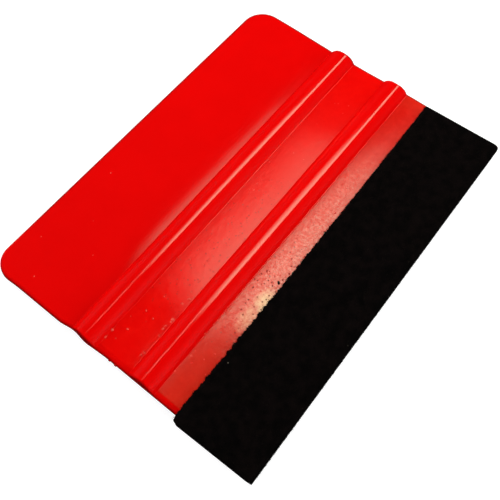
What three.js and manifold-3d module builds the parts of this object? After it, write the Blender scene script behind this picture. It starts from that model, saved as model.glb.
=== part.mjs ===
// Hand squeegee applicator: a flexible moulded card with two grip ribs on each face,
// and a felt strip folded over its working edge and held there by an adhesive film.
// Millimetres, +Z up. +X runs along the working edge, +Y points from the working edge to
// the grip edge, and Z = 0 is the surface that the two lower ribs rest on.

import * as THREE from 'three';
import { mergeVertices } from 'three/addons/utils/BufferGeometryUtils.js';
import Module from 'manifold-3d';

const wasm = await Module();
wasm.setup();

// Overall footprint. The felt reaches its -X end and the card its +X end.
const OVERALL_LENGTH = 102;
const OVERALL_DEPTH = 76.7;

// The moulded card.
const CARD_LENGTH = 100.8;
const CARD_THICKNESS = 2.2;
const EDGE_THICKNESS = 1.4;       // at the working edge, under the felt
const GRIP_CORNER_RADIUS = 5.5;
const WORK_CORNER_RADIUS = 0.8;

// The ribs: one bead section, used four times.
const RIB_HEIGHT = 2.15;
const RIB_CREST_RADIUS = 4;
const RIB_FILLET_RADIUS = 0.5;
const RIB_CREST_LAND = 0.6;       // narrow flat that the card rests on
const RIB_CENTRES_Y = [8.9, -7.8];
const RIB_ROOT = 0.5;             // how far a rib reaches into the card that it grows from
const RIB_END_ROUND = 0.5;

// The working edge: card, film and felt lie on each other with a hair of clearance.
const CLEARANCE = 0.02;
const FILM_THICKNESS = 0.15;
const FILM_MARGIN = 1;            // how far the film stops short of the felt's cut edges
const FELT_LENGTH = 101.4;
const FELT_THICKNESS = 1.2;
const FELT_COVER = 20.8;          // how far the felt reaches back from the nose, on each face

const ARC_STEPS = 6;

// Places that follow from the sizes above.
const CARD_CENTRE_X = (OVERALL_LENGTH - CARD_LENGTH) / 2;
const FELT_CENTRE_X = (FELT_LENGTH - OVERALL_LENGTH) / 2;
const GRIP_EDGE_Y = OVERALL_DEPTH / 2;
const NOSE_Y = -OVERALL_DEPTH / 2;
const FELT_INNER = FILM_THICKNESS + 2 * CLEARANCE;
const FELT_OUTER = FELT_INNER + FELT_THICKNESS;
const CARD_EDGE_Y = NOSE_Y + FELT_OUTER;
const FELT_BACK_Y = NOSE_Y + FELT_COVER;
const MID_Z = CARD_THICKNESS / 2 + RIB_HEIGHT;
const CREST_CENTRE_Z = RIB_HEIGHT - RIB_CREST_RADIUS;
const FILLET_CENTRE_Y = RIB_CREST_LAND / 2 + Math.sqrt(
  (RIB_CREST_RADIUS + RIB_FILLET_RADIUS) ** 2 - (RIB_FILLET_RADIUS - CREST_CENTRE_Z) ** 2,
);
const TAPER_START_Y = RIB_CENTRES_Y[1] - FILLET_CENTRE_Y;

// Turns a closed three.js geometry into a solid that can be joined and cut.
function solid(geometry) {
  const bare = geometry.clone();
  bare.deleteAttribute('normal');
  bare.deleteAttribute('uv');
  const merged = mergeVertices(bare, 1e-5);
  return new wasm.Manifold(new wasm.Mesh({
    numProp: 3,
    vertProperties: new Float32Array(merged.attributes.position.array),
    triVerts: new Uint32Array(merged.index.array),
  }));
}

// Turns a solid back into a named mesh.
function meshOf(name, body, material) {
  const { vertProperties, triVerts } = body.getMesh();
  const geometry = new THREE.BufferGeometry();
  geometry.setAttribute('position', new THREE.BufferAttribute(vertProperties, 3));
  geometry.setIndex(new THREE.BufferAttribute(triVerts, 1));
  geometry.computeVertexNormals();
  const mesh = new THREE.Mesh(geometry, material);
  mesh.name = name;
  return mesh;
}

// Extrudes an outline drawn in Y and Z along X, centred on centreX.
function extrudeAlongX(shape, length, centreX) {
  const geometry = new THREE.ExtrudeGeometry(shape, {
    depth: length,
    bevelEnabled: false,
    curveSegments: ARC_STEPS,
  });
  geometry.applyMatrix4(new THREE.Matrix4().makeBasis(
    new THREE.Vector3(0, 1, 0),
    new THREE.Vector3(0, 0, 1),
    new THREE.Vector3(1, 0, 0),
  ));
  geometry.translate(centreX - length / 2, 0, 0);
  return geometry;
}

// Half the card's thickness at a given Y: even over the grip and the ribs, then a taper.
function halfThickness(y) {
  const along = (TAPER_START_Y - y) / (TAPER_START_Y - CARD_EDGE_Y);
  const taper = THREE.MathUtils.clamp(along, 0, 1);
  return THREE.MathUtils.lerp(CARD_THICKNESS, EDGE_THICKNESS, taper) / 2;
}

// The card's outline from above, as a block taller than the card.
function planBlock() {
  const left = CARD_CENTRE_X - CARD_LENGTH / 2;
  const right = CARD_CENTRE_X + CARD_LENGTH / 2;
  const grip = GRIP_CORNER_RADIUS;
  const work = WORK_CORNER_RADIUS;
  const outline = new THREE.Shape();
  outline.absarc(right - work, CARD_EDGE_Y + work, work, -Math.PI / 2, 0, false);
  outline.absarc(right - grip, GRIP_EDGE_Y - grip, grip, 0, Math.PI / 2, false);
  outline.absarc(left + grip, GRIP_EDGE_Y - grip, grip, Math.PI / 2, Math.PI, false);
  outline.absarc(left + work, CARD_EDGE_Y + work, work, Math.PI, 1.5 * Math.PI, false);
  outline.closePath();
  const height = 2 * CARD_THICKNESS;
  const geometry = new THREE.ExtrudeGeometry(outline, {
    depth: height,
    bevelEnabled: false,
    curveSegments: ARC_STEPS,
  });
  geometry.translate(0, 0, -height / 2);
  return geometry;
}

// The card's section from grip edge to working edge, without its ribs.
function webSlab() {
  const past = 1;
  const section = new THREE.Shape();
  section.moveTo(GRIP_EDGE_Y + past, -CARD_THICKNESS / 2);
  section.lineTo(GRIP_EDGE_Y + past, CARD_THICKNESS / 2);
  section.lineTo(TAPER_START_Y, CARD_THICKNESS / 2);
  section.lineTo(CARD_EDGE_Y, EDGE_THICKNESS / 2);
  section.lineTo(CARD_EDGE_Y, -EDGE_THICKNESS / 2);
  section.lineTo(TAPER_START_Y, -CARD_THICKNESS / 2);
  section.closePath();
  return extrudeAlongX(section, CARD_LENGTH + 2 * past, CARD_CENTRE_X);
}

// A rib's section: fillet, crown, flat crest land, crown, fillet.
function ribSection(centreY) {
  const surface = CARD_THICKNESS / 2;
  const reach = FILLET_CENTRE_Y;
  const crown = RIB_CREST_LAND / 2;
  const rise = RIB_FILLET_RADIUS - CREST_CENTRE_Z;
  const lean = Math.atan2(rise, reach - crown);
  const crestZ = surface + CREST_CENTRE_Z;
  const filletZ = surface + RIB_FILLET_RADIUS;
  const section = new THREE.Shape();
  section.moveTo(centreY - reach, surface - RIB_ROOT);
  section.absarc(centreY - reach, filletZ, RIB_FILLET_RADIUS, -Math.PI / 2, -lean, false);
  section.absarc(centreY - crown, crestZ, RIB_CREST_RADIUS, Math.PI - lean, Math.PI / 2, true);
  section.absarc(centreY + crown, crestZ, RIB_CREST_RADIUS, Math.PI / 2, lean, true);
  section.absarc(centreY + reach, filletZ, RIB_FILLET_RADIUS, Math.PI + lean, 1.5 * Math.PI, false);
  section.lineTo(centreY + reach, surface - RIB_ROOT);
  section.closePath();
  return section;
}

// A rib's outline from the side, with both ends rounded down to the card.
function ribEndTrimmer(centreY) {
  const left = CARD_CENTRE_X - CARD_LENGTH / 2;
  const right = CARD_CENTRE_X + CARD_LENGTH / 2;
  const surface = CARD_THICKNESS / 2;
  const width = 4 * RIB_CREST_RADIUS;
  const outline = new THREE.Shape();
  outline.moveTo(left, surface - RIB_ROOT);
  outline.lineTo(right, surface - RIB_ROOT);
  outline.absellipse(
    right - RIB_END_ROUND, surface, RIB_END_ROUND, RIB_HEIGHT, 0, Math.PI / 2, false, 0,
  );
  outline.absellipse(
    left + RIB_END_ROUND, surface, RIB_END_ROUND, RIB_HEIGHT, Math.PI / 2, Math.PI, false, 0,
  );
  outline.closePath();
  const geometry = new THREE.ExtrudeGeometry(outline, {
    depth: width,
    bevelEnabled: false,
    curveSegments: ARC_STEPS,
  });
  geometry.rotateX(Math.PI / 2);
  geometry.translate(0, centreY + width / 2, 0);
  return geometry;
}

// One rib on the upper face, or on the lower face by half a turn about X.
function rib(centreY, lower) {
  const drawnY = lower ? -centreY : centreY;
  const bead = extrudeAlongX(ribSection(drawnY), CARD_LENGTH, CARD_CENTRE_X);
  const trimmer = ribEndTrimmer(drawnY);
  if (lower) {
    bead.rotateX(Math.PI);
    trimmer.rotateX(Math.PI);
  }
  return solid(bead).intersect(solid(trimmer));
}

// The whole card: rounded plan, tapered section, and the same ribs above and below.
function cardSolid() {
  let card = solid(planBlock()).intersect(solid(webSlab()));
  for (const centreY of RIB_CENTRES_Y) {
    card = card.add(rib(centreY, false));
    card = card.add(rib(centreY, true));
  }
  return card;
}

// The felt: a layer folded round the working edge, between two distances from the card.
function feltLayer(inner, outer) {
  const back = halfThickness(FELT_BACK_Y);
  const edge = halfThickness(CARD_EDGE_Y);
  const section = new THREE.Shape();
  section.moveTo(FELT_BACK_Y, back + outer);
  section.absarc(CARD_EDGE_Y, edge, outer, Math.PI / 2, Math.PI, false);
  section.absarc(CARD_EDGE_Y, -edge, outer, Math.PI, 1.5 * Math.PI, false);
  section.lineTo(FELT_BACK_Y, -back - outer);
  section.lineTo(FELT_BACK_Y, -back - inner);
  section.lineTo(CARD_EDGE_Y - inner, -edge - inner);
  section.lineTo(CARD_EDGE_Y - inner, edge + inner);
  section.lineTo(FELT_BACK_Y, back + inner);
  section.closePath();
  return extrudeAlongX(section, FELT_LENGTH, FELT_CENTRE_X);
}

// The film: the same fold, but with square corners, as it fills the felt's inside.
function filmLayer(inner, outer) {
  const backY = FELT_BACK_Y - FILM_MARGIN;
  const back = halfThickness(backY);
  const edge = halfThickness(CARD_EDGE_Y);
  const section = new THREE.Shape();
  section.moveTo(backY, back + outer);
  section.lineTo(CARD_EDGE_Y - outer, edge + outer);
  section.lineTo(CARD_EDGE_Y - outer, -edge - outer);
  section.lineTo(backY, -back - outer);
  section.lineTo(backY, -back - inner);
  section.lineTo(CARD_EDGE_Y - inner, -edge - inner);
  section.lineTo(CARD_EDGE_Y - inner, edge + inner);
  section.lineTo(backY, back + inner);
  section.closePath();
  return extrudeAlongX(section, FELT_LENGTH - 2 * FILM_MARGIN, FELT_CENTRE_X);
}

const cardPlastic = new THREE.MeshStandardMaterial({ color: 0xe0140a, roughness: 0.35, metalness: 0 });
const filmAdhesive = new THREE.MeshStandardMaterial({ color: 0xd9d4c4, roughness: 0.5, metalness: 0 });
const feltCloth = new THREE.MeshStandardMaterial({ color: 0x0b0b0c, roughness: 0.95, metalness: 0 });

const squeegee = new THREE.Group();
squeegee.position.z = MID_Z;
squeegee.add(meshOf('card', cardSolid(), cardPlastic));
squeegee.add(meshOf(
  'adhesive_film',
  solid(filmLayer(CLEARANCE, CLEARANCE + FILM_THICKNESS)),
  filmAdhesive,
));
squeegee.add(meshOf('felt_strip', solid(feltLayer(FELT_INNER, FELT_OUTER)), feltCloth));

export default squeegee;
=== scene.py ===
"""Looks for the felt-edge squeegee applicator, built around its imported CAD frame.

Lengths in the shape code are millimetres in the CAD's own frame, and every mesh is
scaled to metres as it is made. +X runs along the working edge, +Y points to the grip edge.
"""

import math

import bmesh
import bpy
import numpy as np
from mathutils import Matrix, Vector


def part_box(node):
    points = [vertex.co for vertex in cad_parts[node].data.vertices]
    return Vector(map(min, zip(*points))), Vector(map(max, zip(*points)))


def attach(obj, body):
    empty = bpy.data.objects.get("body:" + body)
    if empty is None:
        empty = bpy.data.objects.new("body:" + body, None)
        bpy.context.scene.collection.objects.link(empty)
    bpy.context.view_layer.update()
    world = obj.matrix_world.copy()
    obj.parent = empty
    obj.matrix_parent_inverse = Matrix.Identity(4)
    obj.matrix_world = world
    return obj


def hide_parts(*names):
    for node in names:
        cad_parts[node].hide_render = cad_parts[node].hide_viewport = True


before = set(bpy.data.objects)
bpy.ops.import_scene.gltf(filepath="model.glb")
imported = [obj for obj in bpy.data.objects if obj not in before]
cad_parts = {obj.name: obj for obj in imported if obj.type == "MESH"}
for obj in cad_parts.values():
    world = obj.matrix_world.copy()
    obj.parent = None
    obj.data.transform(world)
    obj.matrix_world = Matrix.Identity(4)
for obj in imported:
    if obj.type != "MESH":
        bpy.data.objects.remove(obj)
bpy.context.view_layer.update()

MM = 0.001


def box_mm(node):
    low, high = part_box(node)
    return np.array(low) / MM, np.array(high) / MM


# ---------------------------------------------------------------- sizes from the frame
CARD_LOW, CARD_HIGH = box_mm("card")
FELT_LOW, FELT_HIGH = box_mm("felt_strip")

MID_Z = (CARD_LOW[2] + CARD_HIGH[2]) / 2
GRIP_EDGE_Y = CARD_HIGH[1]
CARD_EDGE_Y = CARD_LOW[1]
FELT_BACK_Y = FELT_HIGH[1]
NOSE_Y = FELT_LOW[1]
FELT_OUTER = CARD_EDGE_Y - NOSE_Y     # from the card's surface to the felt's outside

# ---------------------------------------------------------------- the card's own sizes
CARD_THICKNESS = 2.2
EDGE_THICKNESS = 1.4
CORNER_RADIUS_LEFT = 5.2
CORNER_RADIUS_RIGHT = 6.2
RIB_HEIGHT = (CARD_HIGH[2] - CARD_LOW[2] - CARD_THICKNESS) / 2
RIB_CENTRES_Y = (9.0, -7.7)
RIB_CREST_RADIUS = 4.0
RIB_FILLET_RADIUS = 0.2
RIB_END_ROUND = 0.5      # the ribs stop at the card's ends with a small rounding
RIB_END_INSET = 0.15
RIB_END_BLEND = 0.12
EDGE_ROUND = 0.9
WORK_EDGE_ROUND = 0.25
PARTING_RIDGE = 0.04
SKIN_WAVE = 0.01         # slow unevenness of both faces
SKIN_WAVELENGTH = 21
RIM_SHADE_SHIFT = 0.62   # the painted rim shade is wider all round than at the left end
GROOVE_WIDTH = 5.0       # the grip area dips towards the first rib
GROOVE_DEPTH = 0.13
VALLEY_CROWN = 0.01
FRONT_RISE = 0.07        # lift of the front panel just past the second rib
FRONT_RISE_WIDTH = 3.0
SINK_START = 38          # the sinks begin this far to the left of the middle
SINK_FADE = 14
NICK_AT = 12.2           # a shallow nick in the left end, behind the first rib
NICK_REACH = 4.5
NICK_DEPTH = 0.5
LEFT_LEAN = 0.43         # the left end runs further in beside the ribs and the felt
LEFT_FLARE = 0.14
LEFT_FLARE_AT = 32.6
END_CLEARANCE = 0.02

CREST_CENTRE_Z = RIB_HEIGHT - RIB_CREST_RADIUS
RIB_FOOT = math.sqrt(
    (RIB_CREST_RADIUS + RIB_FILLET_RADIUS) ** 2
    - (RIB_FILLET_RADIUS - CREST_CENTRE_Z) ** 2
)
RIB_TANGENT = RIB_FOOT * RIB_CREST_RADIUS / (RIB_CREST_RADIUS + RIB_FILLET_RADIUS)
TAPER_START_Y = RIB_CENTRES_Y[1] - RIB_FOOT
VALLEY_MID_Y = sum(RIB_CENTRES_Y) / 2
VALLEY_HALF = (RIB_CENTRES_Y[0] - RIB_CENTRES_Y[1]) / 2 - RIB_FOOT
PANEL_INSET = 1.9        # smooth border between the satin panels and the card's ends

# ---------------------------------------------------------------- the felt's own sizes
FELT_THICKNESS = 1.2
FELT_INNER = FELT_OUTER - FELT_THICKNESS
FELT_CORNER_RADIUS = 1.0
FELT_LEFT_INSET = 0.2    # both cut ends are skewed: the inset, and what the nose adds to it
FELT_LEFT_LEAN = 0.4
FELT_RIGHT_INSET = 0.64
FELT_RIGHT_LEAN = 0.86
NOSE_CORNER_INSET = 0.12
FELT_BOW = 0.42          # the cut edge bows forward most at this place along the strip
FELT_BOW_AT = -15
FELT_BOW_REACH = 58
FRAYED_DEPTH = 0.7       # how far in from the cut edge the felt is frayed and thinner
FRAYED_THINNING = 0.22
TURN_STEPS = 12
FLAT_STEPS = 60
MATTED_FIBRES = 6500
FRINGE_FIBRES = 2600
LINT_AT = (-12.6, -16.7)  # a crumb of felt lying on the front panel
LINT_RADIUS = 0.45
LINT_HEIGHT = 0.3


# ================================================================ camera and light
CAMERA_AT = Vector((-59.05, -43.19, 137.25)) * MM
CAMERA_AZIMUTH = math.radians(-53.12)
CAMERA_ELEVATION = math.radians(65.31)
CAMERA_ROLL = math.radians(1.25)
CAMERA_LENS = 45.3
CAMERA_SENSOR = 36
CAMERA_CLIP_START = 0.005

# The soft panel hangs over the right of the applicator, in millimetres at this height.
PANEL_HEIGHT = 500
PANEL_LOW = (-30, -140)
PANEL_HIGH = (500, 215)
PANEL_TINT = (1.0, 0.93, 0.68, 1)
PANEL_GLOW = 7.3
CORE_RISE_X = (64, 126)         # the broad glow comes up at its left over this stretch
CORE_FALL_X = (325, 380)        # and goes down at its right, along a slanted edge
CORE_SLANT = 0.2
CORE_SLANT_FROM_Y = 80
CORE_DIM_X = (190, 340)         # it also dims by this share on the way
CORE_DIMMING = 0.42
CORE_FADE_Y = (75, 200)         # it fades towards the back
CORE_FADE_POWER = 1.2
CORE_EDGE_X = (120, 330)        # its front edge runs forward over this stretch
CORE_EDGE_Y = (8, -90)
CORE_EDGE_SOFTNESS = (-30, 25)
NEAR_BAND_Y = (5, 48)           # the band nearest the front reaches further to the right
NEAR_BAND_FALL_X = (440, 485)
NEAR_BAND_GLOW = 1.05
STRIP_GLOW = 8.0                # a narrow strip carries the glow on to the left
STRIP_RISE_X, STRIP_FALL_X = (-12, 8), (70, 110)
STRIP_RISE_Y, STRIP_FALL_Y = (111, 114), (123, 126)

# The fill's place and size are in metres.
FILL_AT = (0.16, 0.03, 0.3)
FILL_SIZE = 0.2
FILL_POWER = 0.62

AMBIENT_EVEN = 0.16
AMBIENT_SIDE = 5.1
AMBIENT_SIDE_POWER = 4.0
AMBIENT_BELOW = 0.03
GLOSS_SURROUNDINGS = 0.006
BACKDROP = 0.97
FLOOR_REACH = 6000
FLOOR_DROP = 0.02


def make_camera():
    """A camera that looks down on the applicator from beyond its felt edge's left end."""
    azimuth, elevation, roll = CAMERA_AZIMUTH, CAMERA_ELEVATION, CAMERA_ROLL
    back = Vector((
        math.sin(azimuth) * math.cos(elevation),
        -math.cos(azimuth) * math.cos(elevation),
        math.sin(elevation),
    ))
    right = Vector((math.cos(azimuth), math.sin(azimuth), 0))
    up = back.cross(right)
    rolled_right = right * math.cos(roll) + up * math.sin(roll)
    rolled_up = up * math.cos(roll) - right * math.sin(roll)
    camera = bpy.data.objects.new("camera", bpy.data.cameras.new("camera"))
    bpy.context.scene.collection.objects.link(camera)
    turn = Matrix((rolled_right, rolled_up, back)).transposed().to_4x4()
    camera.matrix_world = Matrix.Translation(CAMERA_AT) @ turn
    camera.data.lens = CAMERA_LENS
    camera.data.sensor_width = CAMERA_SENSOR
    camera.data.clip_start = CAMERA_CLIP_START
    bpy.context.scene.camera = camera


def aimed(name, data, position, target):
    """A light at a position, pointing at a target."""
    lamp = bpy.data.objects.new(name, data)
    bpy.context.scene.collection.objects.link(lamp)
    direction = Vector(target) - Vector(position)
    lamp.rotation_euler = direction.to_track_quat("-Z", "Y").to_euler()
    lamp.location = position
    return lamp


def area_light(name, position, target, size, power):
    data = bpy.data.lights.new(name, "AREA")
    data.shape = "RECTANGLE"
    data.size, data.size_y = size
    data.energy = power
    return aimed(name, data, position, target)


def panel_material():
    """A soft panel's glow: broad, fading to one side, with a narrow strip at its left."""
    s = Shader("panel_glow")
    x, y = s.axes()[:2]
    near = s.ramp(y, *NEAR_BAND_Y, 1.0, 0.0)
    along_slant = s.math("MULTIPLY", s.math("SUBTRACT", y, CORE_SLANT_FROM_Y), CORE_SLANT)
    slanted = s.math("ADD", x, along_slant)
    dimming = s.math("MULTIPLY", s.straight(x, *CORE_DIM_X), CORE_DIMMING)
    fall = s.math("SUBTRACT", 1.0, dimming)
    fall = s.math("MULTIPLY", fall, s.ramp(slanted, *CORE_FALL_X, 1.0, 0.0))
    near_fall = s.math("MULTIPLY", s.ramp(x, *NEAR_BAND_FALL_X, 1.0, 0.0), NEAR_BAND_GLOW)
    extra = s.math("MULTIPLY", near, s.math("SUBTRACT", near_fall, fall))
    fall = s.math("ADD", fall, extra)
    core_x = s.math("MULTIPLY", s.ramp(x, *CORE_RISE_X), fall)
    fade = s.math("POWER", s.straight(y, *CORE_FADE_Y, 1.0, 0.0), CORE_FADE_POWER)
    past_edge = s.math("SUBTRACT", y, s.straight(x, *CORE_EDGE_X, *CORE_EDGE_Y))
    core_y = s.math("MULTIPLY", s.ramp(past_edge, *CORE_EDGE_SOFTNESS), fade)
    core = s.math("MULTIPLY", core_x, core_y)
    strip_x = s.math("MULTIPLY", s.ramp(x, *STRIP_RISE_X), s.ramp(x, *STRIP_FALL_X, 1.0, 0.0))
    strip_y = s.math("MULTIPLY", s.ramp(y, *STRIP_RISE_Y), s.ramp(y, *STRIP_FALL_Y, 1.0, 0.0))
    strip = s.math("MULTIPLY", strip_x, strip_y)
    glow = s.math("MULTIPLY", core, PANEL_GLOW)
    glow = s.math("ADD", glow, s.math("MULTIPLY", strip, STRIP_GLOW))
    s.set(Base_Color=(0, 0, 0, 1), Emission_Color=PANEL_TINT, Emission_Strength=glow)
    s.set(Specular_IOR_Level=0.0)
    return s.material


def make_lights():
    """The soft panel that the gloss mirrors, and a broad fill that only lights."""
    (x0, y0), (x1, y1) = PANEL_LOW, PANEL_HIGH
    corners = [(x0, y0), (x1, y0), (x1, y1), (x0, y1)]
    points = [(x, y, PANEL_HEIGHT) for x, y in corners]
    panel = object_from("soft_panel", points, [(0, 1, 2, 3)])
    give(panel, panel_material())
    panel.visible_camera = False
    below = (FILL_AT[0], FILL_AT[1], 0)
    fill = area_light("soft_fill", FILL_AT, below, (FILL_SIZE, FILL_SIZE), FILL_POWER)
    fill.visible_glossy = False


def make_world():
    """Surroundings: pale to the camera, dark in gloss, and soft side light on everything."""
    world = bpy.data.worlds.new("studio")
    bpy.context.scene.world = world
    world.use_nodes = True
    nodes, links = world.node_tree.nodes, world.node_tree.links
    nodes.clear()
    out = nodes.new("ShaderNodeOutputWorld")
    path = nodes.new("ShaderNodeLightPath")
    direction = nodes.new("ShaderNodeTexCoord")
    split = nodes.new("ShaderNodeSeparateXYZ")
    links.new(direction.outputs["Generated"], split.inputs[0])

    def math_node(operation, a, b=0.0):
        node = nodes.new("ShaderNodeMath")
        node.operation = operation
        for socket, value in zip(node.inputs, (a, b)):
            if isinstance(value, bpy.types.NodeSocket):
                links.new(value, socket)
            else:
                socket.default_value = value
        return node.outputs[0]

    def background(strength):
        node = nodes.new("ShaderNodeBackground")
        node.inputs["Color"].default_value = (1, 1, 1, 1)
        if isinstance(strength, bpy.types.NodeSocket):
            links.new(strength, node.inputs["Strength"])
        else:
            node.inputs["Strength"].default_value = strength
        return node.outputs[0]

    def choose(factor, off, on):
        node = nodes.new("ShaderNodeMixShader")
        for socket, value in zip(node.inputs, (factor, off, on)):
            links.new(value, socket)
        return node.outputs[0]

    sideways = math_node("POWER", math_node("ABSOLUTE", split.outputs[1]), AMBIENT_SIDE_POWER)
    above = math_node("GREATER_THAN", split.outputs[2], 0.0)
    ambient = math_node("ADD", AMBIENT_EVEN, math_node("MULTIPLY", sideways, AMBIENT_SIDE))
    ambient = math_node("ADD", math_node("MULTIPLY", ambient, above), AMBIENT_BELOW)
    in_gloss = background(GLOSS_SURROUNDINGS)
    lighting = choose(path.outputs["Is Glossy Ray"], background(ambient), in_gloss)
    shown = choose(path.outputs["Is Camera Ray"], lighting, background(BACKDROP))
    links.new(shown, out.inputs["Surface"])
    world.cycles.sampling_method = "NONE"


# ================================================================ mesh helpers
def object_from(name, points_mm, faces):
    """A linked, smoothly shaded mesh object made of points in millimetres."""
    mesh = bpy.data.meshes.new(name)
    mesh.from_pydata((np.asarray(points_mm) * MM).tolist(), [], faces)
    bm = bmesh.new()
    bm.from_mesh(mesh)
    bmesh.ops.recalc_face_normals(bm, faces=bm.faces)
    bm.to_mesh(mesh)
    bm.free()
    mesh.polygons.foreach_set("use_smooth", [True] * len(mesh.polygons))
    piece = bpy.data.objects.new(name, mesh)
    bpy.context.scene.collection.objects.link(piece)
    return piece


def spaced(start, stop, count):
    """Even steps from start, leaving stop out."""
    return np.linspace(start, stop, count, endpoint=False)


def eased(start, stop, count):
    """Points from start to stop that crowd together towards stop."""
    return start + (stop - start) * np.sin(spaced(0, math.pi / 2, count))


def smoothstep(value):
    t = np.clip(value, 0, 1)
    return t * t * (3 - 2 * t)


def waves(x, y, seed, wavelength, count=7):
    """Smooth unevenness from -1 to 1: a few sine waves in seeded directions."""
    rng = np.random.default_rng(seed)
    total = np.zeros(np.broadcast(x, y).shape)
    for _ in range(count):
        angle, phase = rng.uniform(0, 2 * math.pi, 2)
        k = 2 * math.pi / (wavelength * rng.uniform(0.7, 1.5))
        total = total + np.sin(k * (x * math.cos(angle) + y * math.sin(angle)) + phase)
    return total / count


# ================================================================ card
def half_thickness(y):
    along = np.clip((TAPER_START_Y - y) / (TAPER_START_Y - CARD_EDGE_Y), 0, 1)
    return (CARD_THICKNESS + (EDGE_THICKNESS - CARD_THICKNESS) * along) / 2


def bump_at(y, centre, width):
    return np.exp(-(((y - centre) / width) ** 2))


def left_end(y):
    """The left end's outline: a shallow nick behind the first rib, and a slight lean."""
    lean = LEFT_LEAN * smoothstep((10.5 - y) / 9)
    from_nick = np.clip(np.abs(y - NICK_AT) / NICK_REACH, 0, 1)
    nick = NICK_DEPTH * np.cos(math.pi / 2 * from_nick) ** 2
    flare = -LEFT_FLARE * bump_at(y, LEFT_FLARE_AT, 1.8)
    return CARD_LOW[0] + END_CLEARANCE + lean + nick + flare


def right_end(y):
    """The right end's outline: a little fuller at the grip edge and at the working edge."""
    grip_end = 0.24 * smoothstep((y - 14) / 14)
    working_end = 0.3 * smoothstep((3 - y) / 12)
    return CARD_HIGH[0] - END_CLEARANCE + grip_end + working_end


def rib_section(offset):
    """Height of a rib at a distance from its centre line: crown, then fillet to the flat."""
    offset = np.abs(offset)
    crown_reach = np.minimum(offset, RIB_TANGENT)
    crown = CREST_CENTRE_Z + np.sqrt(RIB_CREST_RADIUS**2 - crown_reach**2)
    out = np.clip(RIB_FOOT - offset, 0, RIB_FILLET_RADIUS)
    fillet = RIB_FILLET_RADIUS - np.sqrt(RIB_FILLET_RADIUS**2 - out**2)
    return np.where(offset < RIB_TANGENT, crown, fillet)


def rib_stop(inward):
    """Height allowed to a rib near an end, where it stops with a small rounding."""
    t = np.clip(1 - (inward - RIB_END_INSET) / RIB_END_ROUND, 0, 1)
    return RIB_HEIGHT * np.sqrt(1 - t * t)


def soft_min(a, b, blend):
    """The smaller of two heights, blended where they are close."""
    h = np.clip(0.5 + 0.5 * (b - a) / blend, 0, 1)
    return b + (a - b) * h - blend * h * (1 - h)


def edge_drop(inward, radius):
    """How far a rounded edge lies below the face, at a distance in from the rim."""
    t = np.clip(radius - inward, 0, radius)
    return radius - np.sqrt(radius**2 - t**2)


def corner_radius(x):
    return np.where(x < 0, CORNER_RADIUS_LEFT, CORNER_RADIUS_RIGHT)


def inward_from_rim(x, y):
    """Distance from the card's outline, round the grip corners too."""
    from_end = np.minimum(x - left_end(y), right_end(y) - x)
    from_grip = GRIP_EDGE_Y - y
    radius = corner_radius(x)
    cx, cy = radius - from_end, radius - from_grip
    in_corner = (cx > 0) & (cy > 0)
    corner = radius - np.hypot(np.maximum(cx, 0), np.maximum(cy, 0))
    return np.maximum(np.where(in_corner, corner, np.minimum(from_end, from_grip)), 0)


def panel_relief(x, y):
    """The shallow shaping of the flats, which sink a little beside the thick ribs."""
    sink = smoothstep((x + SINK_START) / SINK_FADE)
    behind = y - RIB_CENTRES_Y[0] - RIB_FOOT
    outside = np.clip(1 - behind / GROOVE_WIDTH, 0, 1) ** 2.5
    groove = np.where(behind < 0, smoothstep(1 + behind / RIB_FOOT), outside)
    valley = np.clip(1 - ((y - VALLEY_MID_Y) / VALLEY_HALF) ** 2, 0, 1)
    past = np.clip((TAPER_START_Y - y) / FRONT_RISE_WIDTH, 0, 1)
    front = 1 - (1 - past) ** 2
    return sink * (FRONT_RISE * front + VALLEY_CROWN * valley - GROOVE_DEPTH * groove)


def card_height(x, y):
    """Height of the card's upper skin above its middle plane."""
    height = half_thickness(y) - edge_drop(inward_from_rim(x, y), EDGE_ROUND)
    under_felt = EDGE_THICKNESS / 2 - EDGE_ROUND + 0.25
    height = np.where(y < TAPER_START_Y, np.maximum(height, under_felt), height)
    height = height - edge_drop(np.maximum(y - CARD_EDGE_Y, 0), WORK_EDGE_ROUND)
    height = height + panel_relief(x, y)
    rib_right = right_end(RIB_CENTRES_Y[0])
    allowed = rib_stop(np.minimum(x - left_end(y), rib_right - x))
    for centre in RIB_CENTRES_Y:
        rib = rib_section(y - centre)
        height = height + np.maximum(soft_min(rib, allowed, RIB_END_BLEND), 0) * (rib > 0)
    return height


def rib_rows(centre):
    """Rows across one rib, close together over its sharply rounded feet."""
    outer, inner = RIB_FOOT + 0.2, RIB_TANGENT - 0.1
    return (
        spaced(centre - outer, centre - inner, 12),
        spaced(centre - inner, centre + inner, 28),
        spaced(centre + inner, centre + outer, 12),
    )


def card_rows():
    """Places across the card, close together where it curves."""
    first_rib, second_rib = RIB_CENTRES_Y
    reach = RIB_FOOT + 0.2
    groove_end = first_rib + reach + GROOVE_WIDTH
    corner_start = GRIP_EDGE_Y - CORNER_RADIUS_RIGHT
    crowded = eased(1, 0, 5)[::-1]
    rows = [
        CARD_EDGE_Y + (crowded - crowded[0]) * 0.5,
        spaced(CARD_EDGE_Y + 0.6, FELT_BACK_Y - 1.5, 10),
        spaced(FELT_BACK_Y - 1.5, second_rib - reach, 16),
        *rib_rows(second_rib),
        spaced(second_rib + reach, first_rib - reach, 18),
        *rib_rows(first_rib),
        spaced(first_rib + reach, groove_end, 14),
        spaced(groove_end, corner_start, 14),
        eased(corner_start, GRIP_EDGE_Y, 34),
        [GRIP_EDGE_Y],
    ]
    return np.unique(np.round(np.concatenate(rows), 5))


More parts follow.
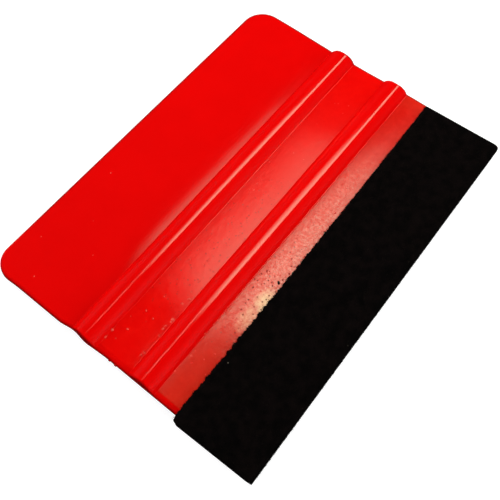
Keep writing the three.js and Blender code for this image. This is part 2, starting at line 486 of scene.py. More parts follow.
def card_columns():
    """Places along the card from 0 to 1, crowded towards both ends."""
    near = np.concatenate([
        [0, 0.03, 0.08, 0.15, 0.2, 0.26, 0.34, 0.44, 0.56, 0.7, 0.86, 1.04, 1.24, 1.46, 1.7],
        np.arange(1.95, 4.1, 0.25),
        np.arange(4.1, 6, 0.45),
    ])
    middle = np.linspace(6.2, 93.8, 118)
    return np.concatenate([near, middle, 100 - near[::-1]]) / 100


def corner_cut(y, radius):
    """How far a rounded grip corner pulls a row's end in."""
    up = np.clip(y - (GRIP_EDGE_Y - radius), 0, radius)
    return radius - np.sqrt(radius**2 - up**2)


def speck_places():
    """Raised specks left by the mould: most on the left of the satin panels."""
    rng = np.random.default_rng(41)
    front_y = (FELT_BACK_Y + 0.5, TAPER_START_Y - 0.5)
    valley_y = (VALLEY_MID_Y - VALLEY_HALF + 0.4, VALLEY_MID_Y + VALLEY_HALF - 0.4)
    grip_y = (RIB_CENTRES_Y[0] + RIB_FOOT + 4, GRIP_EDGE_Y - 4)
    left, right = CARD_LOW[0] + PANEL_INSET + 0.8, CARD_HIGH[0] - PANEL_INSET - 0.8
    # area in Y, count, reach in X, how strongly they crowd to the left, width, height
    areas = (
        (valley_y, 16, (left, -16), 1.0, (0.25, 0.65), (0.05, 0.1)),
        (valley_y, 12, (-8, right), 1.0, (0.3, 0.5), (0.03, 0.06)),
        (front_y, 7, (left, -28), 1.0, (0.35, 0.7), (0.05, 0.1)),
        (front_y, 12, (-20, right), 1.0, (0.3, 0.5), (0.03, 0.06)),
        (grip_y, 5, (left, 2), 1.2, (0.3, 0.4), (0.02, 0.03)),
        ((TAPER_START_Y - 0.12, TAPER_START_Y + 0.1), 7, (left, -24), 1.0, (0.35, 0.6), (0.06, 0.1)),
        ((valley_y[0] - 0.1, valley_y[0] + 0.5), 12, (left, -28), 1.0, (0.4, 0.8), (0.06, 0.1)),
        ((valley_y[1] + 0.3, valley_y[1] + 0.4), 3, (left, -43), 1.0, (0.5, 0.8), (0.06, 0.1)),
    )
    for (y0, y1), count, (x0, x1), crowd, (w0, w1), (h0, h1) in areas:
        for _ in range(count):
            x = x0 + (x1 - x0) * rng.uniform() ** crowd
            yield x, rng.uniform(y0, y1), rng.uniform(w0, w1) / 2, rng.uniform(h0, h1), rng


def speck_shell(x, y, radius, height, rng):
    """A low closed dome, sunk a little into the card's upper skin."""
    rings, around = 3, 10
    angles = np.linspace(0, 2 * math.pi, around, endpoint=False)
    squash, turn = rng.uniform(0.65, 1.0), rng.uniform(0, math.pi)
    points = []
    for level in range(rings + 1):
        spread = math.cos(level / rings * math.pi / 2 * 0.88)
        rise = height * math.sin(level / rings * math.pi / 2)
        px = radius * spread * np.cos(angles)
        py = radius * squash * spread * np.sin(angles)
        gx = x + px * math.cos(turn) - py * math.sin(turn)
        gy = y + px * math.sin(turn) + py * math.cos(turn)
        ground = card_height(gx, gy) if level == 0 else card_height(gx, gy) + rise
        points.append(np.stack([gx, gy, MID_Z + ground - (0.05 if level == 0 else 0)], -1))
    points = np.concatenate(points + [[[x, y, MID_Z + float(card_height(x, y)) + height]]])
    points = np.concatenate([points, [[x, y, MID_Z + float(card_height(x, y)) - 0.06]]])
    top, bottom = len(points) - 2, len(points) - 1
    faces = []
    for i in range(around):
        j = (i + 1) % around
        for level in range(rings):
            a, b = level * around, (level + 1) * around
            faces.append([a + i, a + j, b + j, b + i])
        faces.append([rings * around + i, rings * around + j, top])
        faces.append([j, i, bottom])
    return points, faces


def gate_nub(y, width, rng):
    """A torn stub of the moulding gate, standing a little proud of the left end."""
    rings, around = 7, 12
    points, faces = [], []
    centre = np.array([float(left_end(np.array(y))), y, MID_Z + 0.15])
    for level in range(1, rings):
        tilt = math.pi * level / rings
        for k in range(around):
            turn = 2 * math.pi * k / around
            level_x, level_y = math.sin(tilt) * math.cos(turn), math.sin(tilt) * math.sin(turn)
            ball = np.array([level_x, level_y, math.cos(tilt)])
            points.append(centre + ball * [0.24, width / 2, 0.62] * rng.uniform(0.85, 1.1))
    points += [centre + [0, 0, 0.6], centre - [0, 0, 0.6]]
    top, bottom = len(points) - 2, len(points) - 1
    for k in range(around):
        j = (k + 1) % around
        faces.append([top, k, j])
        faces.append([bottom, (rings - 2) * around + j, (rings - 2) * around + k])
        for level in range(rings - 2):
            a, b = level * around, (level + 1) * around
            faces.append([a + k, b + k, b + j, a + j])
    return np.array(points), faces


def make_card():
    """The card as two skins over one grid, joined round the rim by a parting line."""
    rows, columns = card_rows(), card_columns()
    y = np.repeat(rows[:, None], len(columns), 1)
    start = left_end(rows) + corner_cut(rows, CORNER_RADIUS_LEFT)
    stop = right_end(rows) - corner_cut(rows, CORNER_RADIUS_RIGHT)
    x = start[:, None] + (stop - start)[:, None] * columns[None, :]
    upper = card_height(x, y)
    n_rows, n_columns = x.shape
    count = n_rows * n_columns
    top_z = MID_Z + upper + SKIN_WAVE * waves(x, y, 3, SKIN_WAVELENGTH)
    bottom_z = MID_Z - upper + SKIN_WAVE * waves(x, y, 8, SKIN_WAVELENGTH)
    top = np.stack([x, y, top_z], -1).reshape(-1, 3)
    bottom = np.stack([x, y, bottom_z], -1).reshape(-1, 3)
    index = np.arange(count).reshape(n_rows, n_columns)
    corners = [index[:-1, :-1], index[:-1, 1:], index[1:, 1:], index[1:, :-1]]
    quads = np.stack(corners, -1).reshape(-1, 4)
    faces = quads.tolist() + (quads[:, ::-1] + count).tolist()
    rim = np.concatenate([index[0, :-1], index[:-1, -1], index[-1, :0:-1], index[:0:-1, 0]])
    around = top[rim, :2]
    ahead = np.roll(around, -1, 0) - np.roll(around, 1, 0)
    outward = np.stack([ahead[:, 1], -ahead[:, 0]], -1)
    outward /= np.linalg.norm(outward, axis=1, keepdims=True)
    ridge = np.column_stack([around + PARTING_RIDGE * outward, np.full(len(rim), MID_Z)])
    steps = len(rim)
    for i in range(steps):
        j = (i + 1) % steps
        faces.append([int(rim[i]), 2 * count + i, 2 * count + j, int(rim[j])])
        faces.append([2 * count + i, int(rim[i]) + count, int(rim[j]) + count, 2 * count + j])
    points = [top, bottom, ridge]
    total = 2 * count + steps
    nub_rng = np.random.default_rng(5)
    shells = [gate_nub(1.45, 0.5, nub_rng), gate_nub(-0.3, 0.7, nub_rng)]
    for shell_points, shell_faces in shells:
        points.append(shell_points)
        faces += [[v + total for v in face] for face in shell_faces]
        total += len(shell_points)
    piece = object_from("card_body", np.concatenate(points), faces)
    # Distance in from the rim, which drives the painted shade that darkens the card's colour at its
    # rim.
    rightward = smoothstep((x - CARD_LOW[0]) / 20)
    inward = (inward_from_rim(x, y) - RIM_SHADE_SHIFT * rightward).ravel()
    inward = np.concatenate([inward, inward, np.zeros(total - 2 * count)])
    rim_shade_distance = piece.data.attributes.new("rim_shade_distance", "FLOAT", "POINT")
    rim_shade_distance.data.foreach_set("value", inward)
    return piece


def make_specks():
    """All the raised specks as one piece of small closed domes."""
    points, faces, total = [], [], 0
    for place in speck_places():
        shell_points, shell_faces = speck_shell(*place)
        points.append(shell_points)
        faces += [[v + total for v in face] for face in shell_faces]
        total += len(shell_points)
    return object_from("card_specks", np.concatenate(points), faces)


# ================================================================ felt
def felt_profile(offset, corner_steps, flat_steps):
    """Points (y, z) of the fold at a distance from the card, top back edge to bottom."""
    back = float(half_thickness(FELT_BACK_Y))
    edge = float(half_thickness(CARD_EDGE_Y))
    top = [
        (y, back + offset + (edge - back) * (FELT_BACK_Y - y) / (FELT_BACK_Y - CARD_EDGE_Y))
        for y in np.linspace(FELT_BACK_Y, CARD_EDGE_Y, flat_steps)
    ]
    turn = [
        (CARD_EDGE_Y - offset * math.sin(a), edge + offset * math.cos(a))
        for a in np.linspace(0, math.pi / 2, corner_steps)[1:]
    ]
    upper = np.array(top + turn)
    lower = upper[::-1] * [1, -1]
    return np.concatenate([upper, [[upper[-1, 0], 0]], lower])


def felt_ends(y):
    """The strip's cut ends: slightly skewed, with the left back corner worn round."""
    depth = (FELT_BACK_Y - y) / (FELT_BACK_Y - NOSE_Y)
    worn = np.clip(FELT_CORNER_RADIUS - (FELT_BACK_Y - y), 0, FELT_CORNER_RADIUS)
    rounding = FELT_CORNER_RADIUS - np.sqrt(FELT_CORNER_RADIUS**2 - worn**2)
    nose = NOSE_CORNER_INSET * np.clip((depth - 0.93) / 0.07, 0, 1)
    left = FELT_LOW[0] + FELT_LEFT_INSET + FELT_LEFT_LEAN * depth + rounding + nose
    right = FELT_HIGH[0] - FELT_RIGHT_INSET + FELT_RIGHT_LEAN * depth
    return left, right


def felt_shift(x, y, top_side):
    """How far the felt's cut edge is moved back: bowed, and ragged at its fibres."""
    bow = FELT_BOW * (1 - ((x - FELT_BOW_AT) / FELT_BOW_REACH) ** 2) - 0.08
    ragged = 0.24 * waves(x, 0 * x, 21, 1.3, 5) + 0.24 * waves(x, 0 * x, 22, 0.7, 4)
    ragged = ragged + 0.06 * waves(x, 0 * x, 23, 7)
    amount = 0.6 + 0.4 * smoothstep((20 - x) / 50)
    near_cut = np.clip(1 - (FELT_BACK_Y - y) / FRAYED_DEPTH, 0, 1)
    reach = np.clip(1 - (FELT_BACK_Y - y) / 6, 0, 1)
    return -bow * reach + ragged * amount * near_cut * np.where(top_side, 1, 0.9)


def make_felt():
    """One folded strip with a fibrous skin, ragged cut edges and slightly skewed ends."""
    outer = felt_profile(FELT_OUTER, TURN_STEPS, FLAT_STEPS)
    inner = felt_profile(FELT_INNER, TURN_STEPS, FLAT_STEPS)
    side = len(outer)
    length = FELT_HIGH[0] - FELT_LOW[0]
    near = np.array([0, 0.06, 0.14, 0.25, 0.4, 0.6])
    middle = np.linspace(0.85, length - 0.85, 330)
    columns = np.concatenate([near, middle, length - near[::-1]]) / length
    ring = np.concatenate([outer, inner[::-1]])
    skin = np.concatenate([np.ones(side), np.zeros(side)])[None, :]
    around = len(ring)
    left, right = felt_ends(ring[:, 0])
    x = left[None, :] + (right - left)[None, :] * columns[:, None]
    y = np.repeat(ring[None, :, 0], len(columns), 0)
    z = np.repeat(ring[None, :, 1], len(columns), 0)
    near_cut = np.clip(1 - (FELT_BACK_Y - y) / FRAYED_DEPTH, 0, 1)
    y = y + felt_shift(x, y, z > 0)
    z = z - np.sign(z) * FRAYED_THINNING * near_cut**2 * skin
    fuzz = 0.035 * waves(x, y + 3 * z, 31, 0.9, 9) + 0.02 * waves(x, y + 3 * z, 32, 0.45, 9)
    flat = (ring[:, 0] >= CARD_EDGE_Y)[None, :]
    z = z + np.sign(z) * fuzz * skin * np.where(flat, 1.0, 0.4)
    y = y - fuzz * skin * ~flat
    y = y - 0.05 * (x / 50) * np.clip((FELT_BACK_Y - y) / 20, 0, 1)
    points = np.stack([x, y, z + MID_Z], -1)
    index = np.arange(points.shape[0] * around).reshape(points.shape[0], around)
    following = np.roll(index, -1, 1)
    corners = [index[:-1], following[:-1], following[1:], index[1:]]
    quads = np.stack(corners, -1).reshape(-1, 4).tolist()
    for end in (0, -1):
        row = index[end].tolist()
        for i in range(side - 1):
            quads.append([row[i], row[i + 1], row[around - 2 - i], row[around - 1 - i]])
    return object_from("felt_cover", points.reshape(-1, 3), quads)


def fibre_mesh(name, roots, middles, tips, radii):
    """Thin three-sided fibres, each bent once and running to a point."""
    along = middles - roots
    side = np.cross(along, [0.3, 0.2, 1.0])
    side /= np.linalg.norm(side, axis=1, keepdims=True)
    other = np.cross(along, side)
    other /= np.linalg.norm(other, axis=1, keepdims=True)
    corners = []
    for base, scale in ((roots, 1.0), (middles, 0.8)):
        for turn in (0, 2 * math.pi / 3, 4 * math.pi / 3):
            spoke = side * math.cos(turn) + other * math.sin(turn)
            corners.append(base + spoke * (radii * scale)[:, None])
    points = np.stack(corners + [tips], 1)
    one = [[2, 1, 0]]
    for k in range(3):
        j = (k + 1) % 3
        one += [[k, j, 3 + j], [k, 3 + j, 3 + k], [3 + k, 3 + j, 6]]
    faces = (np.array(one)[None] + 7 * np.arange(len(roots))[:, None, None]).reshape(-1, 3)
    return object_from(name, points.reshape(-1, 3), faces.tolist())


def matted_fibres(rng):
    """Roots, middles and tips of the fibres that lie on the felt's faces."""
    profile = felt_profile(FELT_OUTER, TURN_STEPS, FLAT_STEPS)
    steps = np.linalg.norm(np.diff(profile, axis=0), axis=1)
    travel = np.concatenate([[0], np.cumsum(steps)])
    at = rng.uniform(0, travel[-1], MATTED_FIBRES)
    y, z = np.interp(at, travel, profile[:, 0]), np.interp(at, travel, profile[:, 1])
    dy, dz = np.gradient(profile[:, 0], travel), np.gradient(profile[:, 1], travel)
    ny, nz = -np.interp(at, travel, dz), np.interp(at, travel, dy)
    out = np.where(nz * np.sign(z) < 0, -1, 1)
    normal = np.stack([0 * at, ny * out, nz * out], -1)
    normal /= np.linalg.norm(normal, axis=1, keepdims=True)
    x = rng.uniform(FELT_LOW[0] + 0.6, FELT_HIGH[0] - 0.8, MATTED_FIBRES)
    root = np.stack([x, y + felt_shift(x, y, z > 0), z + MID_Z], -1) - normal * 0.06
    flow = rng.normal(size=(MATTED_FIBRES, 3))
    flow -= normal * (flow * normal).sum(1, keepdims=True)
    flow /= np.linalg.norm(flow, axis=1, keepdims=True)
    length = rng.uniform(0.4, 1.1, MATTED_FIBRES)[:, None]
    lift = rng.uniform(0.09, 0.15, MATTED_FIBRES)[:, None]
    middle = root + flow * length * 0.5 + normal * lift
    bend = np.cross(normal, flow) * rng.uniform(-0.4, 0.4, MATTED_FIBRES)[:, None]
    rise = rng.uniform(-0.08, 0.06, MATTED_FIBRES)[:, None]
    tip = middle + (flow * 0.5 + bend) * length + normal * rise
    return root, middle, tip


def fringe_fibres(rng):
    """Roots, middles and tips of the fibres that stand out of the two cut edges."""
    x = rng.uniform(FELT_LOW[0] + 0.5, FELT_HIGH[0] - 0.8, FRINGE_FIBRES)
    level = rng.uniform(FELT_INNER + 0.1, FELT_OUTER - 0.15, FRINGE_FIBRES)
    above = rng.uniform(size=FRINGE_FIBRES) < 0.6
    back = float(half_thickness(FELT_BACK_Y))
    y = np.full(FRINGE_FIBRES, FELT_BACK_Y)
    z = np.where(above, 1, -1) * (back + level) + MID_Z
    root = np.stack([x, y + felt_shift(x, y, above) - 0.1, z], -1)
    reach = rng.uniform(0.12, 0.5, FRINGE_FIBRES)[:, None]
    sideways, ahead = rng.normal(0, 0.6, FRINGE_FIBRES), np.ones(FRINGE_FIBRES)
    sway = np.stack([sideways, ahead, rng.normal(0, 0.15, FRINGE_FIBRES)], -1)
    middle = root + sway * reach * 0.6 + [0, 0.05, 0]
    stray = rng.normal(0, 0.35, (FRINGE_FIBRES, 3)) * [1, 0.3, 0.3]
    tip = middle + (sway + stray) * reach * 0.5
    return root, middle, tip


def make_fibres():
    """Loose fibres on the felt: matted over its faces, and standing out of its cut edges."""
    rng = np.random.default_rng(77)
    kinds = zip(matted_fibres(rng), fringe_fibres(rng))
    roots, middles, tips = [np.concatenate(pair) for pair in kinds]
    radii = rng.uniform(0.016, 0.032, len(roots))
    return fibre_mesh("felt_fibres", roots, middles, tips, radii)


def make_lint():
    """One crumb of black felt lying on the front panel."""
    rng = np.random.default_rng(3)
    points, faces = speck_shell(*LINT_AT, LINT_RADIUS, LINT_HEIGHT, rng)
    return object_from("felt_lint", points, faces)


# ================================================================ materials
class Shader:
    """A material's node tree, with short calls for the nodes used here."""

    def __init__(self, name):
        self.material = bpy.data.materials.new(name)
        self.material.use_nodes = True
        self.tree = self.material.node_tree
        self.tree.nodes.clear()
        self.out = self.tree.nodes.new("ShaderNodeOutputMaterial")
        self.surface = self.tree.nodes.new("ShaderNodeBsdfPrincipled")
        self.tree.links.new(self.surface.outputs[0], self.out.inputs["Surface"])
        coordinates = self.tree.nodes.new("ShaderNodeTexCoord")
        self.place = self.vector("MULTIPLY", coordinates.outputs["Object"], (1000, 1000, 1000))

    def put(self, socket, value):
        if isinstance(value, bpy.types.NodeSocket):
            self.tree.links.new(value, socket)
        else:
            socket.default_value = value

    def set(self, **values):
        for name, value in values.items():
            self.put(self.surface.inputs[name.replace("_", " ")], value)

    def vector(self, operation, a, b):
        node = self.tree.nodes.new("ShaderNodeVectorMath")
        node.operation = operation
        self.put(node.inputs[0], a)
        self.put(node.inputs[1], b)
        return node.outputs[0]

    def math(self, operation, a, b=0.0, clamp=False):
        node = self.tree.nodes.new("ShaderNodeMath")
        node.operation = operation
        node.use_clamp = clamp
        self.put(node.inputs[0], a)
        self.put(node.inputs[1], b)
        return node.outputs[0]

    def ramp(self, value, low, high, to_low=0.0, to_high=1.0):
        """A smooth step from one number to another while a value goes from low to high."""
        node = self.tree.nodes.new("ShaderNodeMapRange")
        node.interpolation_type = "SMOOTHSTEP"
        for socket, number in zip(node.inputs, (value, low, high, to_low, to_high)):
            self.put(socket, number)
        return node.outputs[0]

    def straight(self, value, low, high, to_low=0.0, to_high=1.0):
        """The same as ramp, in a straight line."""
        node = self.tree.nodes.new("ShaderNodeMapRange")
        for socket, number in zip(node.inputs, (value, low, high, to_low, to_high)):
            self.put(socket, number)
        return node.outputs[0]

    def noise(self, scale, detail=2.0, roughness=0.5, stretch=(1, 1, 1)):
        node = self.tree.nodes.new("ShaderNodeTexNoise")
        self.put(node.inputs["Vector"], self.vector("MULTIPLY", self.place, stretch))
        node.inputs["Scale"].default_value = scale
        node.inputs["Detail"].default_value = detail
        node.inputs["Roughness"].default_value = roughness
        return node.outputs["Fac"]

    def dots(self, scale):
        """Distance to the nearest of scattered points, in cells."""
        node = self.tree.nodes.new("ShaderNodeTexVoronoi")
        self.put(node.inputs["Vector"], self.place)
        node.inputs["Scale"].default_value = scale
        return node.outputs["Distance"]

    def attribute(self, name):
        node = self.tree.nodes.new("ShaderNodeAttribute")
        node.attribute_name = name
        return node.outputs["Fac"]

    def triple(self, value):
        node = self.tree.nodes.new("ShaderNodeCombineXYZ")
        for socket in node.inputs:
            self.put(socket, value)
        return node.outputs[0]

    def axes(self):
        node = self.tree.nodes.new("ShaderNodeSeparateXYZ")
        self.put(node.inputs[0], self.place)
        return node.outputs

    def near(self, centre, reach):
        """1 at a place on the card, falling to 0 at an elliptical reach from it."""
        x, y = self.axes()[:2]
        dx = self.math("DIVIDE", self.math("SUBTRACT", x, centre[0]), reach[0])
        dy = self.math("DIVIDE", self.math("SUBTRACT", y, centre[1]), reach[1])
        squared = self.math("ADD", self.math("MULTIPLY", dx, dx), self.math("MULTIPLY", dy, dy))
        return self.ramp(squared, 0.0, 1.0, 1.0, 0.0)

    def mix(self, factor, a, b):
        node = self.tree.nodes.new("ShaderNodeMix")
        node.data_type = "RGBA"
        self.put(node.inputs[0], factor)
        self.put(node.inputs[6], a)
        self.put(node.inputs[7], b)
        return node.outputs[2]

    def bump(self, height, distance_mm, strength=1.0, below=None):
        node = self.tree.nodes.new("ShaderNodeBump")
        node.inputs["Strength"].default_value = strength
        node.inputs["Distance"].default_value = distance_mm * MM
        self.put(node.inputs["Height"], height)
        if below is not None:
            self.put(node.inputs["Normal"], below)
        return node.outputs["Normal"]


SMOOTH_RED = (0.57, 0.0005, 0.0004, 1)
SMOOTH_RED_DEEP = (0.55, 0.0004, 0.0003, 1)
VALLEY_RED = (0.61, 0.0011, 0.0007, 1)
VALLEY_RED_PALE = (0.64, 0.0024, 0.0014, 1)
FRONT_RED = (0.49, 0.0055, 0.0026, 1)
FRONT_RED_PALE = (0.54, 0.009, 0.0045, 1)
# Painted highlight: the raised specks' paler red.
SPECK_GLINT_RED = (0.62, 0.01, 0.006, 1)
SPECK_GLINT_RED_PALE = (0.68, 0.07, 0.05, 1)
PIT_BROWN = (0.12, 0.006, 0.003, 1)
# Pale dust colour, also used as a painted sheen at the front panel's right end.
DUST_AND_SHEEN = (0.5, 0.05, 0.02, 1)
CRUMBS_AND_GLINT_PALE = (0.95, 0.78, 0.45, 1)
CRUMBS_AND_GLINT_AT = (-18.0, -17.6)       # dried adhesive that squeezed out beside the felt; its pale colour is also a painted highlight for the front panel's glint
CRUMBS_AND_GLINT_REACH = (4.8, 3.8)
CRUMBS_AND_GLINT_LEFT_AT = (-23.5, -16.4)
CRUMBS_AND_GLINT_LEFT_REACH = (5.0, 3.0)
PITTED_AT = (-17.0, -15.0)       # where the front panel is pitted most
PITTED_REACH = (22.0, 7.0)
PITTED_VALLEY_AT = (-14.0, 0.0)  # and where the panel between the ribs is
PITTED_VALLEY_REACH = (30.0, 12.0)
RIM_SHADE = 0.28                 # painted shade: the rim's colour is darker than the faces
PLASTIC_IOR = 1.49
FELT_BLACK = (0.0009, 0.0007, 0.0007, 1)
FELT_BLACK_PALE = (0.0024, 0.0015, 0.0015, 1)
FELT_HIGHLIGHT = (0.008, 0.006, 0.0055, 1)
LINT_GREY = (0.16, 0.14, 0.11, 1)
FIBRE_BLACK = (0.0025, 0.0016, 0.0014, 1)
FIBRE_GREY = (0.014, 0.01, 0.009, 1)
FILM_COLOUR = (0.3, 0.26, 0.18, 1)
FILM_BUBBLE = (0.42, 0.38, 0.29, 1)


def card_material():
    """Moulded red plastic: glossy grip area and ribs, satin pitted panels beside them."""
    s = Shader("red_plastic")
    x, y = s.axes()[:2]

    # Where the satin panels are: 1 on them and 0 elsewhere, with a slightly ragged left border.
    wander = s.math("MULTIPLY", s.math("SUBTRACT", s.noise(0.9, 3), 0.5), 0.35)
    border = CARD_LOW[0] + PANEL_INSET
    inside = s.ramp(s.math("ADD", x, wander), border - 0.25, border + 0.25)
    from_valley = s.math("ABSOLUTE", s.math("SUBTRACT", y, VALLEY_MID_Y))
    valley = s.ramp(from_valley, VALLEY_HALF - 0.1, VALLEY_HALF + 0.25, 1.0, 0.0)
    front = s.ramp(y, TAPER_START_Y - 0.25, TAPER_START_Y + 0.1, 1.0, 0.0)
    panel = s.math("MULTIPLY", inside, s.math("ADD", valley, front, True))

    # The red, mottled differently on each face.
    grain = s.noise(1.9, 5, 0.75)
    clouds = s.noise(0.09, 3, 0.6)
    mottle = s.noise(0.6, 4, 0.6)
    smooth = s.mix(s.ramp(clouds, 0.35, 0.65), SMOOTH_RED_DEEP, SMOOTH_RED)
    mottling = s.ramp(mottle, 0.35, 0.7)
    in_valley = s.mix(mottling, VALLEY_RED, VALLEY_RED_PALE)
    in_front = s.mix(mottling, FRONT_RED, FRONT_RED_PALE)
    satin = s.mix(front, in_valley, in_front)

    # Dust on the front panel, most of it towards the left; at the right end the same pale colour is
    # a painted sheen where the end catches the light.
    settled = s.ramp(y, TAPER_START_Y - 6.0, TAPER_START_Y - 1.0, 1.0, 0.0)
    # Painted sheen: a paler strip at the right end of the front panel.
    right_end_sheen = s.ramp(x, CARD_HIGH[0] - 5.5, CARD_HIGH[0] - 2.5)
    clumps = s.ramp(s.noise(1.6, 5, 0.7), 0.42, 0.66)
    dust_and_sheen_mask = s.math("MULTIPLY", clumps, s.math("MULTIPLY", front, settled))
    leftward = s.math("MULTIPLY", s.ramp(x, -30, 40, 1.0, 0.0), front)
    dust_and_sheen_mask = s.math("ADD", s.math("MULTIPLY", dust_and_sheen_mask, 0.17), 0.13)
    dust_and_sheen_mask = s.math("MULTIPLY", dust_and_sheen_mask, leftward)
    sheen_at_right_end = s.math("MULTIPLY", s.math("MULTIPLY", front, right_end_sheen), 0.12)
    dust_and_sheen_mask = s.math("MAXIMUM", dust_and_sheen_mask, sheen_at_right_end)
    satin = s.mix(dust_and_sheen_mask, satin, DUST_AND_SHEEN)

    # Crumbs of dried adhesive in front of the felt, painted pale: partly real crumbs, partly a
    # painted highlight for the front panel's glint.
    crumbs_and_glint = s.near(CRUMBS_AND_GLINT_AT, CRUMBS_AND_GLINT_REACH)
    crumbs_and_glint_left = s.math("MULTIPLY", s.near(CRUMBS_AND_GLINT_LEFT_AT, CRUMBS_AND_GLINT_LEFT_REACH), 0.62)
    crumbs_and_glint = s.math("MAXIMUM", crumbs_and_glint, crumbs_and_glint_left)
    broken = s.math("MULTIPLY", s.math("SUBTRACT", s.noise(0.55, 8, 0.8), 0.5), 3.2)
    crumbs_and_glint = s.math("MULTIPLY", crumbs_and_glint, s.math("ADD", crumbs_and_glint, broken), True)
    crumbs_and_glint = s.math("MULTIPLY", crumbs_and_glint, 0.62)
    satin = s.mix(crumbs_and_glint, satin, CRUMBS_AND_GLINT_PALE)

    # Small dark pits, some on the front panel and some between the ribs.
    pits_dark = s.ramp(s.dots(1.0), 0.13, 0.27, 1.0, 0.0)
    clusters = s.ramp(s.noise(0.45, 2), 0.4, 0.52)
    few = s.math("MULTIPLY", clusters, s.near(PITTED_AT, PITTED_REACH))
    pits_dark = s.math("MULTIPLY", s.math("MULTIPLY", pits_dark, few), front)
    valley_pits = s.ramp(s.dots(1.05), 0.13, 0.27, 1.0, 0.0)
    valley_pits = s.math("MULTIPLY", valley_pits, s.near(PITTED_VALLEY_AT, PITTED_VALLEY_REACH))
    valley_pits = s.math("MULTIPLY", valley_pits, s.ramp(s.noise(0.5, 2), 0.4, 0.5))
    valley_pits = s.math("MULTIPLY", valley_pits, valley)
    pits_dark = s.math("MAXIMUM", pits_dark, s.math("MULTIPLY", valley_pits, 0.6))
    satin = s.mix(s.math("MULTIPLY", pits_dark, 0.9), satin, PIT_BROWN)

    # Painted shade: the base colour is darkened along the rounded rim.
    face = s.ramp(s.attribute("rim_shade_distance"), -0.55, 0.5, RIM_SHADE, 1.0)
    plastic = s.mix(panel, smooth, satin)
    s.set(Base_Color=s.vector("MULTIPLY", plastic, s.triple(face)))

    # Roughness: a smooth gloss, and a little more on the panels, in the pits and on the crumbs with
    # their painted glint.
    gloss = s.math("ADD", 0.08, s.math("MULTIPLY", s.noise(0.35, 3), 0.02))
    rough = s.math("ADD", 0.05, s.math("MULTIPLY", grain, 0.05))
    rough = s.math("ADD", rough, s.math("MULTIPLY", front, 0.03))
    rough = s.math("ADD", rough, s.math("MULTIPLY", pits_dark, 0.4))
    rough = s.math("ADD", rough, s.math("MULTIPLY", crumbs_and_glint, 0.4))
    difference = s.math("MULTIPLY", s.math("SUBTRACT", rough, gloss), panel)
    s.set(Roughness=s.math("ADD", gloss, difference))

    # Relief too fine for the mesh: a slow swell, and ripples and grain on the panels.
    swell = s.bump(s.noise(0.12, 2), 0.04, 0.5)
    ripples = s.bump(s.math("MULTIPLY", mottle, panel), 0.03, 0.5, swell)
    coarse = s.math("MULTIPLY", s.math("ADD", 0.5, front), panel)
    pits = s.bump(s.math("MULTIPLY", grain, coarse), 0.012, 0.6, ripples)
    s.set(Normal=pits)

    # Worn patches on the panels, and the pits, mirror less.
    worn = s.ramp(s.noise(1.15, 5, 0.8), 0.36, 0.62)
    patchy = s.math("ADD", 0.62, s.math("MULTIPLY", worn, -0.3))
    level = s.math("MULTIPLY", s.math("SUBTRACT", patchy, 0.5), coarse)
    level = s.math("ADD", 0.5, level)
    left_by_pits = s.math("SUBTRACT", 1.0, s.math("MULTIPLY", pits_dark, 0.75))
    level = s.math("MULTIPLY", level, left_by_pits)
    s.set(IOR=PLASTIC_IOR, Specular_IOR_Level=level)
    return s.material


def speck_material():
    """The same plastic on the raised specks, painted a little paler as a highlight where they catch
    the light.
    """
    s = Shader("red_plastic_speck_glint")
    shade = s.ramp(s.noise(1.3, 2), 0.3, 0.7)
    s.set(Base_Color=s.mix(shade, SPECK_GLINT_RED, SPECK_GLINT_RED_PALE))
    s.set(Roughness=0.25, IOR=PLASTIC_IOR, Normal=s.bump(s.noise(6.0, 2), 0.02, 0.5))
    return s.material


def felt_material():
    """Black pressed felt: short matted fibres, hardly any shine, a few bits of lint."""
    s = Shader("black_felt")
    fibres_a = s.noise(1.2, 6, 0.75, (1, 4, 4))
    fibres_b = s.noise(1.4, 6, 0.75, (4, 1, 2))
    fibres = s.math("MAXIMUM", fibres_a, fibres_b)
    paler = s.ramp(fibres, 0.62, 0.78)
    cloth = s.mix(s.ramp(s.noise(0.5, 4), 0.3, 0.7), FELT_BLACK, FELT_BLACK_PALE)
    cloth = s.mix(paler, cloth, FELT_HIGHLIGHT)
    bits = s.ramp(s.dots(0.22), 0.02, 0.05, 1.0, 0.0)
    lint = s.math("MULTIPLY", bits, s.ramp(s.noise(0.3, 2), 0.5, 0.6))
    s.set(Base_Color=s.mix(lint, cloth, LINT_GREY))
    s.set(Roughness=0.95, Specular_IOR_Level=0.03)
    s.set(Sheen_Weight=0.004, Sheen_Roughness=0.5)
    s.set(Normal=s.bump(fibres, 0.12, 0.9))
    return s.material


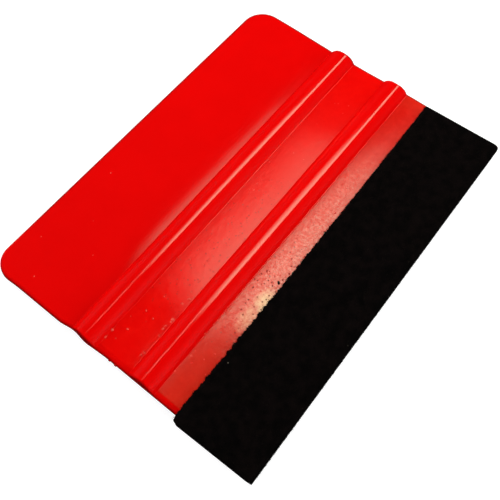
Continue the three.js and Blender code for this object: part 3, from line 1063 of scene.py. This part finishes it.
def fibre_material():
    """Single felt fibres: black with a trace of brown, a few of them greyer."""
    s = Shader("black_fibre")
    shade = s.ramp(s.noise(1.8, 3), 0.5, 0.75)
    s.set(Base_Color=s.mix(shade, FIBRE_BLACK, FIBRE_GREY))
    s.set(Roughness=0.85, Specular_IOR_Level=0.05)
    return s.material


def film_material():
    """Dull pale adhesive film with fine bubbles."""
    s = Shader("adhesive_film_pale")
    bubbles = s.ramp(s.dots(1.6), 0.05, 0.3)
    s.set(Base_Color=s.mix(bubbles, FILM_COLOUR, FILM_BUBBLE))
    s.set(Roughness=s.math("ADD", 0.3, s.math("MULTIPLY", s.noise(0.8), 0.3)))
    s.set(Normal=s.bump(bubbles, 0.02, 0.5))
    return s.material


def floor_material():
    """A plain pale floor that glows a little, so that it stays pale far from the lights."""
    s = Shader("pale_floor")
    tint = s.ramp(s.noise(0.01, 2), 0.3, 0.7)
    s.set(Base_Color=s.mix(tint, (0.25, 0.25, 0.25, 1), (0.27, 0.27, 0.27, 1)))
    s.set(Roughness=0.9, Emission_Color=(1, 1, 1, 1), Emission_Strength=0.87)
    s.set(Specular_IOR_Level=0.0)
    return s.material


# ================================================================ assembly
def give(piece, material):
    piece.data.materials.clear()
    piece.data.materials.append(material)


def make_floor():
    signs = ((-1, -1), (1, -1), (1, 1), (-1, 1))
    corners = [(FLOOR_REACH * sx, FLOOR_REACH * sy, -FLOOR_DROP) for sx, sy in signs]
    floor = object_from("floor", corners, [(0, 1, 2, 3)])
    give(floor, floor_material())
    floor.visible_diffuse = False
    floor.visible_glossy = False


make_camera()
make_lights()
make_world()
make_floor()
bpy.context.scene.view_settings.view_transform = "Standard"

card = make_card()
give(card, card_material())
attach(card, "root")
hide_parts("card")

lint = make_lint()
give(lint, fibre_material())
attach(lint, "root")

specks = make_specks()
give(specks, speck_material())
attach(specks, "root")

felt = make_felt()
give(felt, felt_material())
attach(felt, "root")
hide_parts("felt_strip")

fibres = make_fibres()
give(fibres, fibre_material())
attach(fibres, "root")

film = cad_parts["adhesive_film"]
give(film, film_material())
